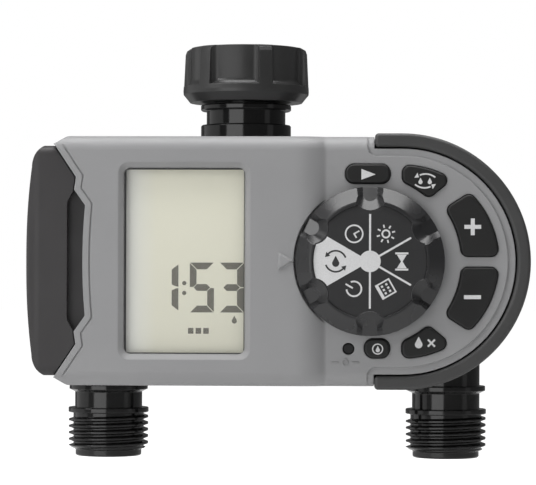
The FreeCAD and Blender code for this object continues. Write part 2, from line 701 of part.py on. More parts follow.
def lcd_holder():
    """Dark frame that stands behind the lens and carries the display."""
    frame = box(-39.6, 4.1, LENS_FRONT_Y + LENS_THICKNESS + 0.05, BOARD_FRONT_Y - 0.05,
                -32.4, 32.4)
    frame = frame.cut(box(WINDOW_LEFT, WINDOW_RIGHT, FACE_Y, BOARD_BACK_Y,
                          -WINDOW_HALF, WINDOW_HALF).cut(box(-40, 5, LCD_BACK_Y, 0, -33, 33)))
    frame = frame.cut(box(-39.05, 3.55, LCD_FRONT_Y - 0.05, LCD_BACK_Y + 0.02, -31.85, 31.85))
    frame = frame.cut(box(-36.6, 1.1, LCD_BACK_Y - 1, BOARD_FRONT_Y + 1, -26.0, 29.4))
    return frame.cut(box(-34.2, -1.3, LCD_BACK_Y - 1, BOARD_FRONT_Y + 1, -30.7, -28.1))


def zebra_strip():
    return box(-34.0, -1.5, LCD_BACK_Y + 0.02, BOARD_FRONT_Y - 0.02, -30.5, -28.3)


def main_board():
    board = front_plate(case_outline(6.6), BOARD_FRONT_Y, BOARD_BACK_Y)
    tabs = [rod_y(3.4, x, z, BOARD_FRONT_Y, BOARD_BACK_Y) for x, z in BOARD_SCREWS]
    board = join([board] + tabs).common(box(-40.5, FAR, -FAR, FAR, -FAR, FAR))
    for x, z in BOARD_SCREWS:
        board = board.cut(rod_y(1.25, x, z, -40, -30))
    return board


def board_screws():
    screws = []
    for x, z in BOARD_SCREWS:
        head = rod_y(2.1, x, z, BOARD_BACK_Y, BOARD_BACK_Y + 1.4)
        head = head.cut(box(x - 1.5, x + 1.5, BOARD_BACK_Y + 0.8, -30, z - 0.3, z + 0.3))
        screws.append(join([head, rod_y(1.1, x, z, BOARD_FRONT_Y - 2.4, BOARD_BACK_Y)]))
    return Part.makeCompound(screws)


def controller_chip():
    y0, y1 = BOARD_BACK_Y + 0.3, BOARD_BACK_Y + 1.7
    body = box(-4, 8, y0, y1, -6, 6)
    legs = []
    for step in range(8):
        offset = -5.2 + 1.5 * step
        legs.append(box(-5.4, -3.8, BOARD_BACK_Y, y0 + 0.3, offset - 0.3, offset + 0.3))
        legs.append(box(7.8, 9.4, BOARD_BACK_Y, y0 + 0.3, offset - 0.3, offset + 0.3))
    return join([body] + legs)


def capacitor():
    can = rod_y(4.0, 12.0, -18.0, BOARD_BACK_Y, BOARD_BACK_Y + 9.0)
    return soften(can, 0.6, lambda edge: in_plane(edge, BOARD_BACK_Y + 9.0))


def keypad_mat():
    sheet = front_plate(case_outline(7.4), MAT_FRONT_Y, MAT_BACK_Y)
    sheet = sheet.common(box(32.6, FAR, -FAR, FAR, -FAR, FAR))
    sheet = sheet.cut(rod_y(12.0, DIAL_X, 0, -40, -30))
    domes = []
    places = [place for _, place in BUTTONS.values()] + [RESET_PLACE]
    for x, z in places:
        domes.append(Part.makeCone(1.6, 2.4, MAT_FRONT_Y - DOME_FRONT_Y + 0.1,
                                   Vector(x, DOME_FRONT_Y, z), Vector(0, 1, 0)))
    return join([sheet] + domes)


def switch_domes():
    places = [place for _, place in BUTTONS.values()] + [RESET_PLACE]
    return Part.makeCompound([rod_y(1.9, x, z, MAT_BACK_Y + 0.02, BOARD_FRONT_Y - 0.02)
                              for x, z in places])


# ---- Dial ---------------------------------------------------------------------------------
def notch_outline(ring, grow):
    """Outline of a notch in one plane: an arc towards the dial's axis and two flaring sides."""
    centre, radius, mouth = ring["centre"], ring["radius"] + grow, ring["mouth"] + grow

    def on_plane(x, z):
        return Vector(x, ring["rim_y"] + ring["slope"] * (x - DIAL_RADIUS), z)

    first, last = on_plane(centre, -radius), on_plane(centre, radius)
    outer_first, outer_last = on_plane(NOTCH_OUTER, -mouth), on_plane(NOTCH_OUTER, mouth)
    arc = Part.Arc(first, on_plane(centre - radius, 0), last).toShape()
    return Part.Wire([arc, Part.makeLine(last, outer_last), Part.makeLine(outer_last, outer_first),
                      Part.makeLine(outer_first, first)])


def notches(grow):
    """Six troughs with sloping sides, their floors falling outwards to the rim."""
    rings = [notch_outline(ring, grow) for ring in (NOTCH_FRONT, NOTCH_FLOOR)]
    troughs = []
    for index in range(NOTCH_COUNT):
        trough = Part.makeLoft(rings, True, True)
        trough.rotate(Vector(0, 0, 0), FRONT, 30.0 + 60.0 * index)
        trough.translate(Vector(DIAL_X, 0, 0))
        troughs.append(trough)
    return troughs


def dial_knob():
    profile = [(SPINDLE_RADIUS, DIAL_REAR_Y), (6.0, DIAL_REAR_Y), (6.0, -42.6), (14.6, -42.6),
               (14.6, DIAL_REAR_Y), (DIAL_RADIUS, DIAL_REAR_Y), (DIAL_RADIUS, -42.6),
               (23.8, -42.9), (19.6, DIAL_FRONT_Y + 0.2), (19.1, DIAL_FRONT_Y),
               (FACE_RADIUS + 0.1, DIAL_FRONT_Y), (FACE_RADIUS + 0.1, FACE_BACK_Y),
               (SPINDLE_RADIUS, FACE_BACK_Y)]
    knob = turned(profile, DIAL_X, "y")
    pocket = rod_y(FACE_RADIUS + 0.1, DIAL_X, 0, FACE_FRONT_Y, FACE_BACK_Y)
    for trough in notches(NOTCH_LIP):
        knob = knob.fuse(pocket.common(trough))
    for trough in notches(0.0):
        knob = knob.cut(trough)
    return knob.removeSplitter()


def dial_face():
    disc = rod_y(FACE_RADIUS, DIAL_X, 0, FACE_FRONT_Y, FACE_BACK_Y)
    for trough in notches(NOTCH_LIP + 0.05):
        disc = disc.cut(trough)
    return disc


def dial_spindle():
    shaft = rod_y(SPINDLE_RADIUS, DIAL_X, 0, FACE_BACK_Y, -36.9)
    return join([shaft, rod_y(2.2, DIAL_X, 0, -36.9, -34.7)])


def dial_rotor():
    """Disc with six stop hollows in its rim."""
    rotor = rod_y(10.0, DIAL_X, 0, -36.9, -34.9).cut(rod_y(2.2, DIAL_X, 0, -38, -34))
    for index in range(NOTCH_COUNT):
        turn = math.radians(30.0 + 60.0 * index)
        rotor = rotor.cut(rod_y(0.9, DIAL_X + 10.4 * math.cos(turn), 10.4 * math.sin(turn),
                                -38, -34))
    return rotor


def dial_wiper():
    """Two-armed brass contact under the rotor."""
    arm = front_plate([(DIAL_X - 8, -1.0, 0.9), (DIAL_X + 8, -1.0, 0.9), (DIAL_X + 8, 1.0, 0.9),
                       (DIAL_X - 8, 1.0, 0.9)], -34.88, -34.5)
    tips = [rod_y(0.8, DIAL_X + sign * 6.8, 0, -34.5, -33.8) for sign in (-1, 1)]
    return join([arm] + tips).cut(rod_y(2.25, DIAL_X, 0, -38, -34))


def dial_seal():
    return rod_y(5.0, DIAL_X, 0, PANEL_Y + 0.05, PANEL_Y + 0.85).cut(
        rod_y(SPINDLE_RADIUS + 0.15, DIAL_X, 0, -45, -30))


def detent_spring():
    """Spring leaf that clicks in the rotor's hollows."""
    leaf = box(DIAL_X - 8, DIAL_X + 8, -36.55, -35.1, -12.5, -12.1)
    bump = rod_y(1.1, DIAL_X, -11.6, -36.55, -35.1)
    return join([leaf, bump]).cut(box(DIAL_X - 9, DIAL_X + 9, -38, -34, -13.5, -12.5))


# ---- Hose thread --------------------------------------------------------------------------
def thread_ridge(base, crest, length, start_z):
    """Helical ridge between a base radius and a crest radius, either way round."""
    helix = Part.makeHelix(THREAD_PITCH, length, base)
    root_half, crest_half = THREAD_PITCH * 0.41, 0.3
    corners = [Vector(base, 0, -root_half), Vector(crest, 0, -crest_half),
               Vector(crest, 0, crest_half), Vector(base, 0, root_half)]
    section = Part.makePolygon(corners + [corners[0]])
    ridge = Part.Wire(helix.Edges).makePipeShell([section], True, True)
    ridge.translate(Vector(0, 0, start_z))
    return ridge


# ---- Inlet --------------------------------------------------------------------------------
def nut_flute():
    """Shallow pocket for a finger in the nut's side, open at the top."""
    top = FLUTE_BOTTOM + 20
    sector = Part.makeCylinder(30, 20, Vector(0, 0, FLUTE_BOTTOM), UP, 2 * FLUTE_HALF_ANGLE)
    pocket = sector.cut(rod_z(FLUTE_FLOOR, 0, 50, 90))
    pocket.rotate(Vector(0, 0, 0), UP, -FLUTE_HALF_ANGLE)

    def near_floor(edge):
        middle = edge.valueAt((edge.FirstParameter + edge.LastParameter) / 2)
        return math.hypot(middle.x, middle.y) < FLUTE_FLOOR + 0.01 and middle.z < top - 0.1

    return soften(pocket, FLUTE_CORNER, near_floor)


def swivel_nut():
    top = INLET_TOP
    profile = [(NUT_BORE, NUT_BOTTOM), (19.0, NUT_BOTTOM), (21.2, 56.6), (21.3, 57.6),
               (20.7, top - 2.0), (20.2, top - 0.7), (19.0, top), (LEAD_IN_RADIUS, top),
               (LEAD_IN_RADIUS, top - LEAD_IN_DEPTH), (NUT_CAVITY, top - LEAD_IN_DEPTH - 0.4),
               (NUT_CAVITY, NUT_FLOOR), (NUT_BORE, NUT_FLOOR)]
    nut = turned(profile, 0)
    flute = nut_flute()
    for index in range(FLUTE_COUNT):
        turned_flute = flute.copy()
        turned_flute.rotate(Vector(0, 0, 0), UP, FLUTE_TURN + 360.0 / FLUTE_COUNT * index)
        nut = nut.cut(turned_flute)
    ridge = thread_ridge(NUT_CAVITY + 0.2, FEMALE_CREST, 6.2, 62.8)
    return nut.fuse(ridge)


def inlet_stem():
    profile = [(STEM_BORE, 58.9), (12.9, 58.9), (12.9, 57.15), (STEM_NECK, 57.15),
               (STEM_NECK, 53.2), (14.9, 53.2), (15.3, 52.8), (15.3, 51.5), (14.9, 51.1),
               (13.35, 51.1), (13.35, 46.3), (14.9, 46.3), (15.25, 45.9), (15.25, 40.8),
               (11.0, 40.8), (11.0, 30.0), (9.5, 30.0), (9.5, 22.0), (7.6, 22.0), (7.6, 48.0),
               (STEM_BORE, 48.4)]
    return turned(profile, 0)


def inlet_washer():
    profile = [(8.4, 58.95), (13.2, 58.95), (13.2, 61.2), (8.4, 61.2)]
    return turned(profile, 0)


def filter_screen():
    """Rimmed cup that strains the water."""
    profile = [(0, 51.0), (5.0, 51.0), (8.0, 61.25), (12.8, 61.25), (12.8, 62.0), (7.6, 62.0),
               (4.7, 51.5), (0, 51.5)]
    return turned(profile, 0)


# ---- Water body, valves and outlets -------------------------------------------------------
def manifold_body():
    """Pipe from the inlet to the two valve chambers, moulded in one piece."""
    solids = [rod_z(12.0, 0, 20.0, 29.9), rod_z(8.0, 0, CROSS_PIPE_Z - 6, 22.0),
              rod_x(6.2, LEFT_VALVE_X, RIGHT_VALVE_X, 0, CROSS_PIPE_Z)]
    for x in VALVE_XS.values():
        solids.append(rod_z(VALVE_RADIUS, x, -24.0, CHAMBER_TOP))
    body = join(solids)
    body = body.cut(rod_z(9.55, 0, 22.0, 31.0))
    body = body.cut(rod_z(6.2, 0, CROSS_PIPE_Z, 23.0))
    for x in VALVE_XS.values():
        body = body.cut(rod_z(11.0, x, -16.0, CHAMBER_TOP + 1))
    body = body.cut(rod_x(4.6, LEFT_VALVE_X, RIGHT_VALVE_X, 0, CROSS_PIPE_Z))
    seats = [rod_z(6.5, x, -17.0, SEAT_TOP) for x in VALVE_XS.values()]
    body = join([body] + seats)
    for x in VALVE_XS.values():
        body = body.cut(rod_z(5.0, x, -25.0, SEAT_TOP + 1))
        body = body.cut(rod_z(NECK_RADIUS + 0.05, x, -25.0, -18.0))
    return body


def outlet(x):
    """Outlet with a flange, a neck, a collar, the hose thread and a plain pilot."""
    profile = [(OUTLET_BORE, OUTLET_TOP), (NECK_RADIUS, OUTLET_TOP), (NECK_RADIUS, FLANGE_TOP),
               (13.1, FLANGE_TOP), (13.3, FLANGE_TOP - 0.2), (13.3, FLANGE_BOTTOM + 0.2),
               (NECK_RADIUS, NECK_TOP), (NECK_RADIUS, COLLAR_TOP), (13.4, COLLAR_TOP),
               (13.6, COLLAR_TOP - 0.2), (13.6, COLLAR_BOTTOM + 0.2), (13.4, COLLAR_BOTTOM),
               (THREAD_ROOT, COLLAR_BOTTOM), (THREAD_ROOT, THREAD_END + 0.4),
               (PILOT_RADIUS, THREAD_END), (PILOT_RADIUS, OUTLET_END + 0.4),
               (PILOT_RADIUS - 0.4, OUTLET_END), (OUTLET_BORE, OUTLET_END)]
    body = turned(profile, x)
    ridge = thread_ridge(THREAD_ROOT - 0.2, THREAD_CREST, MALE_THREAD_LENGTH,
                         THREAD_END + 0.05)
    envelope = turned([(0, THREAD_END), (11.6, THREAD_END), (THREAD_CREST + 0.1, THREAD_END + 1.4),
                       (THREAD_CREST + 0.1, COLLAR_BOTTOM), (0, COLLAR_BOTTOM)], 0)
    ridge = ridge.common(envelope)
    ridge.translate(Vector(x, 0, 0))
    return body.fuse(ridge)


def bonnet(x):
    """Valve cover with the closed tube that the plunger slides in."""
    solids = [rod_z(VALVE_RADIUS, x, BONNET_BOTTOM, BONNET_TOP), rod_z(4.4, x, 5.0, CORE_TOP)]
    cover = join(solids)
    cover = cover.cut(rod_z(8.2, x, BONNET_BOTTOM - 1, 3.5))
    cover = cover.cut(rod_z(CORE_BORE, x, BONNET_TOP, CORE_TOP - 1.0))
    return cover.cut(rod_z(0.8, x, 3.0, BONNET_TOP + 1))


def diaphragm(x):
    profile = [(DISC_RADIUS + 0.25, -3.0), (9.0, -3.9), (10.6, -2.95), (12.2, -2.95),
               (12.2, -1.95), (10.4, -1.95), (9.0, -3.0), (DISC_RADIUS + 0.25, -2.1)]
    return turned(profile, x)


def valve_disc(x):
    profile = [(0, DISC_BOTTOM), (DISC_RADIUS - 0.4, DISC_BOTTOM), (DISC_RADIUS, -5.4),
               (DISC_RADIUS, DISC_TOP), (2.0, DISC_TOP), (2.0, DISC_TOP + 1.2),
               (0, DISC_TOP + 1.2)]
    return turned(profile, x)


def disc_spring(x):
    return coil_spring(x, 0, DISC_TOP + 0.1, 3.4, 3.6, 0.3, 4)


def coil(x):
    """Winding with its terminal block towards the middle of the case."""
    body = rod_z(COIL_RADIUS, x, COIL_BOTTOM, COIL_TOP).cut(rod_z(4.5, x, 0, 30))
    side = 1 if x < 0 else -1
    low, high = sorted((x + side * 7.0, x + side * 12.2))
    return join([body, box(low, high, -3.0, 3.0, 16.0, 21.0)])


def yoke(x):
    """Bent steel frame round the coil."""
    frame = join([box(x - 8, x + 8, -7, 10.8, COIL_TOP + 0.1, COIL_TOP + 1.3),
                  box(x - 8, x + 8, -7, 10.8, BONNET_TOP + 0.1, COIL_BOTTOM - 0.1),
                  box(x - 8, x + 8, 9.5, 10.8, BONNET_TOP + 0.1, COIL_TOP + 1.3)])
    return frame.cut(rod_z(4.5, x, 0, 30))


def plunger(x):
    profile = [(0, PLUNGER_BOTTOM), (2.9, PLUNGER_BOTTOM), (3.42, PLUNGER_BOTTOM + 0.5),
               (3.42, PLUNGER_TOP), (0, PLUNGER_TOP)]
    return turned(profile, x)


def plunger_spring(x):
    return coil_spring(x, 0, PLUNGER_TOP + 0.1, CORE_TOP - 1.1, 2.5, 0.25, 5)


def lead(route, radius=0.8):
    """Insulated wire along straight runs joined by tangent arcs."""
    points = [Vector(*p) for p in route]
    edges = []
    start = points[0]
    for before, here, after in zip(points, points[1:], points[2:]):
        back = (before - here)
        ahead = (after - here)
        turn = math.pi - back.getAngle(ahead)
        bend = 0.45 * min(back.Length, ahead.Length) / math.tan(turn / 2)
        reach = bend * math.tan(turn / 2)
        first = here + back.normalize() * reach
        last = here + ahead.normalize() * reach
        middle = (back + ahead).normalize()
        depth = bend / math.cos(turn / 2) - bend
        edges.append(Part.makeLine(start, first))
        edges.append(Part.Arc(first, here + middle * depth, last).toShape())
        start = last
    edges.append(Part.makeLine(start, points[-1]))
    path = Part.Wire(edges)
    section = Part.Wire(Part.makeCircle(radius, points[0], points[1] - points[0]))
    tube = path.makePipeShell([section], True, True)
    print("lead volume over section times length:",
          round(tube.Volume / (math.pi * radius ** 2 * path.Length), 4))
    return tube


LEADS = {
    "valve_leads": [
        [(-12, BOARD_BACK_Y, 18.5), (-12, 0, 18.5), (LEFT_VALVE_X + 12.2, 0, 18.5)],
        [(24, BOARD_BACK_Y, 18.5), (24, 0, 18.5), (RIGHT_VALVE_X - 12.2, 0, 18.5)],
    ],
    "battery_leads": [
        [(-16.5, -23, z), (-11, -23, z), (-11, BOARD_BACK_Y, z)] for z in (-10.0, 10.0)
    ],
}


# ---- Saving -------------------------------------------------------------------------------
def save(name, shape):
    lowered = shape.copy()
    lowered.translate(Vector(0, 0, -INLET_TOP))
    for solid in lowered.Solids:
        if not solid.isValid():
            print("not valid:", name)
    print(name, len(lowered.Solids), "solids", round(lowered.Volume, 1), "mm3")
    lowered.exportStep("parts/" + name + ".step")


def main():
    os.makedirs("parts", exist_ok=True)
    pieces = [front_housing, rear_housing, side_bumper, case_screws, battery_grip, battery_tray,
              drawer_seal, tray_contacts, battery_sleeve, sleeve_contacts, display_window,
              lcd_panel, lcd_holder, zebra_strip, main_board, board_screws, controller_chip,
              capacitor, keypad_mat, switch_domes, reset_button, dial_knob, dial_face,
              dial_spindle, dial_rotor, dial_wiper, dial_seal, detent_spring, swivel_nut,
              inlet_stem, inlet_washer, filter_screen, manifold_body]
    for piece in pieces:
        save(piece.__name__, piece())
    save("housing_gasket", gasket_ring(0.05, PARTING_Y + 0.85))
    save("battery_cells", Part.makeCompound([battery_cell(x) for x in CELL_XS]))
    save("coil_yokes", Part.makeCompound([yoke(x) for x in VALVE_XS.values()]))
    for name in BUTTONS:
        save(name + "_button", button(name))
    valve_pieces = [outlet, bonnet, diaphragm, valve_disc, disc_spring, coil, plunger,
                    plunger_spring]
    for side, x in VALVE_XS.items():
        for piece in valve_pieces:
            save(side + "_" + piece.__name__, piece(x))
    for name, routes in LEADS.items():
        save(name, Part.makeCompound([lead(route) for route in routes]))


main()
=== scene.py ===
import json
import math

import bmesh
import bpy
from mathutils import Matrix, Vector


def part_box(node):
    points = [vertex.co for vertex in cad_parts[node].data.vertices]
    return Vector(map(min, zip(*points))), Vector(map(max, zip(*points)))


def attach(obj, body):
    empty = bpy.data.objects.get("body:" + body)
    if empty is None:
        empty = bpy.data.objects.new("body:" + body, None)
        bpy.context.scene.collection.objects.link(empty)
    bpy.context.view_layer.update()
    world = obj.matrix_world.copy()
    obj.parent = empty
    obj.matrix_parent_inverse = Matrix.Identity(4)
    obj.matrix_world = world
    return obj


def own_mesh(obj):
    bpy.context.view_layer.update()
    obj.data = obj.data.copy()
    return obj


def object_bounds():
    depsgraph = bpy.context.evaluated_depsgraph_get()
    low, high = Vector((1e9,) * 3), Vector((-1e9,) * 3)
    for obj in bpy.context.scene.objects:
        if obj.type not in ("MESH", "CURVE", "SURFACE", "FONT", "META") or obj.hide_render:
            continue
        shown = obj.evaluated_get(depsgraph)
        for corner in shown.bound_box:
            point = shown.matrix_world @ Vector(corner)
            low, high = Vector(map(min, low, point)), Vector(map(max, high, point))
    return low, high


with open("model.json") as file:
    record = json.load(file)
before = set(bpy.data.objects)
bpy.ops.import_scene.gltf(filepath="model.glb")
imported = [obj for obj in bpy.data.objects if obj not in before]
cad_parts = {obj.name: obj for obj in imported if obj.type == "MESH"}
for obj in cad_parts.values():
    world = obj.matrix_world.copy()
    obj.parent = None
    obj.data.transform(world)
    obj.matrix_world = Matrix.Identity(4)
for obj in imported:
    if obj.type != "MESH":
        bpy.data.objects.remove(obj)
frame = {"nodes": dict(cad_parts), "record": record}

# Looks of a hose-tap irrigation timer.  Metres, in the part's own frame: the origin is the middle
# of the inlet nut's mouth, -Y is the front and +Z is up.  Marks are drawn in millimetres.

MM = 0.001
cad_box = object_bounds()

# ---- Colours (linear) ---------------------------------------------------------------------
CASE_GREY = (0.30, 0.30, 0.305)
CASE_BLACK = (0.030, 0.030, 0.031)
FITTING_BLACK = (0.008, 0.008, 0.008)
NUT_BLACK = (0.031, 0.031, 0.031)
BUMPER_BLACK = (0.048, 0.048, 0.048)
GRIP_BLACK = (0.036, 0.034, 0.035)
KEY_BLACK = (0.012, 0.012, 0.012)
DIAL_BLACK = (0.022, 0.022, 0.023)
DISC_BLACK = (0.024, 0.024, 0.025)
PRINT_WHITE = (0.69, 0.69, 0.695)
LCD_PALE = (0.78, 0.765, 0.63)
# Colour of a painted reflection along the display's left edge.
LCD_PAINTED_REFLECTION = (0.85, 0.86, 0.84)
LCD_DARK = (0.079, 0.070, 0.046)
STEEL = (0.55, 0.55, 0.56)
BRASS = (0.62, 0.46, 0.20)
COPPER = (0.52, 0.20, 0.08)
BOARD_GREEN = (0.02, 0.12, 0.05)
NATURAL = (0.55, 0.54, 0.50)
RUBBER = (0.018, 0.018, 0.018)
CELL_BLUE = (0.03, 0.06, 0.14)
LEAD_RED = (0.42, 0.02, 0.02)
FLOOR_WHITE = (0.84, 0.84, 0.84)

# ---- Studio -------------------------------------------------------------------------------
FLOOR_REACH = 8.0         # metres from the middle to each side
FLOOR_DROP = 0.05         # metres below the lowest point of the part
FLOOR_LIFT = 0.95         # light added to the floor as the camera sees it, and nowhere else
ROOM_GLOW = 0.12          # light that comes from all round
# Each soft box: degrees to the right of the front, degrees up, metres away, width, height, watts.
SOFT_BOXES = {
    "key": (-60, 28, 1.0, 0.4, 0.4, 2.6),
    "fill": (-35, 40, 1.0, 0.4, 0.4, 0.6),
    "top": (0, 81, 0.7, 0.9, 0.42, 6.7),
    "window": (-27, 0, 0.9, 0.70, 0.32, 1.4),
    "left": (-100, 0, 0.9, 1.1, 0.5, 0.9),
    "right": (68, 0, 1.0, 0.3, 0.5, 0.12),
}
CAMERA_PLACE = (0.0456, -0.8692, -0.0784)
CAMERA_TURN = 2.5         # degrees to the left of straight ahead
CAMERA_ROLL = 0.2         # degrees
CAMERA_LENS = 172.1       # focal length in mm, on a sensor 36 mm wide
CAMERA_SHIFT = 0.07       # how far the frame is moved up, in widths of the picture

# ---- Marks, in millimetres and degrees ----------------------------------------------------
PRINT_THICKNESS = 0.03
RAISED_THICKNESS = 0.25   # of a mark that is moulded in the plastic
ROOT = 0.01               # how far behind its face the plate of a mark begins
LCD_SINK = 0.02           # how much deeper the display's ink lies
MARK_CIRCLE = 10.2        # the dial's pictograms from its axis
AUTO_PLACE = -11.0        # the automatic mark, on the wedge left of the axis
HUB_RADIUS = 3.45
SPOKE_WIDTH = 0.64
SPOKE_END = 15.2
SPOKE_TURNS = (90, 30, -30, -90)
WEDGE_HALF_TURN = 30
DISC_EDGE = 18.15
NOTCH_PLACE = 20.9        # the notches' centres from the dial's axis
NOTCH_BITE = 5.05         # their radius, with a hair of black left round them
# On the display, a place is to the right of the part's middle and up from the dial's axis.
OPENING = {"left": -37.2, "right": 1.7, "half": 30.0}   # half is half of its height
# Painted shadow: the black frame on the lens stands for the shade of the display opening's walls,
# so it is widest at the left and top.
SHADOW_FRAME_WIDTHS = {"left": 0.5, "right": 0.2, "top": 0.4, "bottom": 0.25}   # the black frame's widths
DIGIT_TOP = -0.5
ONE_LEFT = -22.05
FIVE_LEFT = -16.15
THREE_LEFT = -6.45
COLON = ((-17.95, -7.2), (-17.95, -10.4))
COLON_RADIUS = 0.7
DIGIT_HEIGHT = 16.2
DIGIT_WIDTH = 7.9
SEGMENT = 2.2
SEGMENT_GAP = 0.16


# ---- Materials ----------------------------------------------------------------------------
class Shader:
    """A material with one Principled shader and a few short ways to add nodes."""

    def __init__(self, name):
        self.material = bpy.data.materials.new(name)
        self.material.use_nodes = True
        self.nodes = self.material.node_tree.nodes
        self.links = self.material.node_tree.links
        self.surface = self.nodes["Principled BSDF"]
        self.place = self.add("ShaderNodeTexCoord").outputs["Object"]

    def add(self, kind, **settings):
        node = self.nodes.new(kind)
        for key, value in settings.items():
            setattr(node, key, value)
        return node

    def join(self, start, end):
        self.links.new(start, end)

    def noise(self, size, detail=3.0, stretch=None):
        """Noise with features of about this size in metres."""
        node = self.add("ShaderNodeTexNoise")
        node.inputs["Scale"].default_value = 1.0 / size
        node.inputs["Detail"].default_value = detail
        place = self.place
        if stretch:
            squeeze = self.add("ShaderNodeMapping")
            squeeze.inputs["Scale"].default_value = stretch
            self.join(place, squeeze.inputs["Vector"])
            place = squeeze.outputs["Vector"]
        self.join(place, node.inputs["Vector"])
        return node.outputs["Fac"]

    def spread(self, value, low, high, start=0.3, end=0.7):
        """Maps a value to a range."""
        node = self.add("ShaderNodeMapRange")
        node.inputs["From Min"].default_value = start
        node.inputs["From Max"].default_value = end
        node.inputs["To Min"].default_value = low
        node.inputs["To Max"].default_value = high
        self.join(value, node.inputs["Value"])
        return node.outputs["Result"]

    def blend(self, factor, first, second):
        node = self.add("ShaderNodeMix", data_type="RGBA")
        self.join(factor, node.inputs["Factor"])
        for socket, value in ((node.inputs[6], first), (node.inputs[7], second)):
            if isinstance(value, tuple):
                socket.default_value = (*value, 1.0)
            else:
                self.join(value, socket)
        return node.outputs[2]

    def bump(self, height, depth, normal=None):
        node = self.add("ShaderNodeBump")
        node.inputs["Distance"].default_value = depth
        node.inputs["Strength"].default_value = 1.0
        self.join(height, node.inputs["Height"])
        if normal:
            self.join(normal, node.inputs["Normal"])
        return node.outputs["Normal"]

    def soft_edges(self, radius):
        """Rounded normal at sharp edges, and a mask of those edges."""
        bevel = self.add("ShaderNodeBevel", samples=4)
        bevel.inputs["Radius"].default_value = radius
        flat = self.add("ShaderNodeNewGeometry").outputs["Normal"]
        compare = self.add("ShaderNodeVectorMath", operation="DOT_PRODUCT")
        self.join(bevel.outputs["Normal"], compare.inputs[0])
        self.join(flat, compare.inputs[1])
        mask = self.spread(compare.outputs["Value"], 1.0, 0.0, 0.80, 0.995)
        return bevel.outputs["Normal"], mask


def shade(colour, factor):
    return tuple(min(1.0, channel * factor) for channel in colour)


def moulded(name, colour, roughness, grain=0.00035, depth=0.000012, mottle=0.06, edge=0.0003,
            edge_wear_and_highlight=1.35, metallic=0.0, coat=0.0, gleam=0.5):
    """Moulded or plain surface: fine grain, cloudy colour and gloss, and edges lightened in colour
    both as wear and as a painted highlight.
    """
    shader = Shader(name)
    surface = shader.surface
    cloud = shader.noise(0.018, 4.0)
    tint = shader.blend(shader.spread(cloud, 0.0, 1.0), shade(colour, 1 - mottle),
                        shade(colour, 1 + mottle))
    normal, mask = shader.soft_edges(edge)
    scuffs = shader.noise(0.0025, 5.0)
    # Edge colour lightened: partly wear, partly a painted highlight along the edges.
    wear_and_highlight = shader.add("ShaderNodeMath", operation="MULTIPLY")
    shader.join(mask, wear_and_highlight.inputs[0])
    shader.join(shader.spread(scuffs, 0.15, 1.0), wear_and_highlight.inputs[1])
    tint = shader.blend(wear_and_highlight.outputs["Value"], tint, shade(colour, edge_wear_and_highlight))
    shader.join(tint, surface.inputs["Base Color"])
    gloss = shader.noise(0.009, 5.0)
    shader.join(shader.spread(gloss, roughness * 0.86, roughness * 1.14),
                surface.inputs["Roughness"])
    skin = shader.noise(grain, 2.0)
    shader.join(shader.bump(skin, depth, normal), surface.inputs["Normal"])
    surface.inputs["Metallic"].default_value = metallic
    surface.inputs["Specular IOR Level"].default_value = gleam
    surface.inputs["Coat Weight"].default_value = coat
    surface.inputs["Coat Roughness"].default_value = 0.25
    return shader.material


def brushed(name, colour, roughness, stretch):
    """Metal with fine drawn lines along one direction."""
    shader = Shader(name)
    surface = shader.surface
    lines = shader.noise(0.0006, 3.0, stretch)
    shader.join(shader.blend(shader.spread(lines, 0.0, 1.0), shade(colour, 0.8),
                             shade(colour, 1.12)), surface.inputs["Base Color"])
    shader.join(shader.spread(lines, roughness * 0.8, roughness * 1.3),
                surface.inputs["Roughness"])
    normal, _ = shader.soft_edges(0.0001)
    shader.join(shader.bump(lines, 0.00001, normal), surface.inputs["Normal"])
    surface.inputs["Metallic"].default_value = 1.0
    return shader.material


def clear_window():
    """Thin clear cover: nearly all of it is see-through, with faint smears."""
    shader = Shader("window_clear")
    surface = shader.surface
    surface.inputs["Base Color"].default_value = (0.85, 0.87, 0.84, 1.0)
    surface.inputs["Alpha"].default_value = 0.06
    smears = shader.noise(0.012, 5.0, (1.0, 1.0, 0.4))
    shader.join(shader.spread(smears, 0.04, 0.14), surface.inputs["Roughness"])
    shader.join(shader.bump(smears, 0.00001), surface.inputs["Normal"])
    return shader.material


def lcd_glass():
    """Pale green-grey reflective display, with painted light making it brighter at its top and
    painted shade making it darker at its bottom, and a painted reflection along its left edge.
    """
    shader = Shader("lcd_glass")
    surface = shader.surface
    low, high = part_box("lcd_panel")
    axes = shader.add("ShaderNodeSeparateXYZ")
    shader.join(shader.place, axes.inputs["Vector"])
    # Painted light and shade: the display's colour is lighter at its top and darker at its bottom.
    painted_light_ramp = shader.spread(axes.outputs["Z"], 1.0, 0.0, low.z, high.z)
    tint = shader.blend(painted_light_ramp, shade(LCD_PALE, 1.10), shade(LCD_PALE, 0.89))
    # Painted reflection: a pale band along the display's left edge.
    side = shader.spread(axes.outputs["X"], 1.0, 0.0, low.x, low.x + 0.012)
    tint = shader.blend(side, tint, LCD_PAINTED_REFLECTION)
    speck = shader.noise(0.0004, 2.0)
    tint = shader.blend(shader.spread(speck, 0.0, 0.10), tint, shade(LCD_PALE, 0.75))
    shader.join(tint, surface.inputs["Base Color"])
    shader.join(shader.spread(speck, 0.42, 0.55), surface.inputs["Roughness"])
    shader.join(shader.bump(speck, 0.000004), surface.inputs["Normal"])
    return shader.material


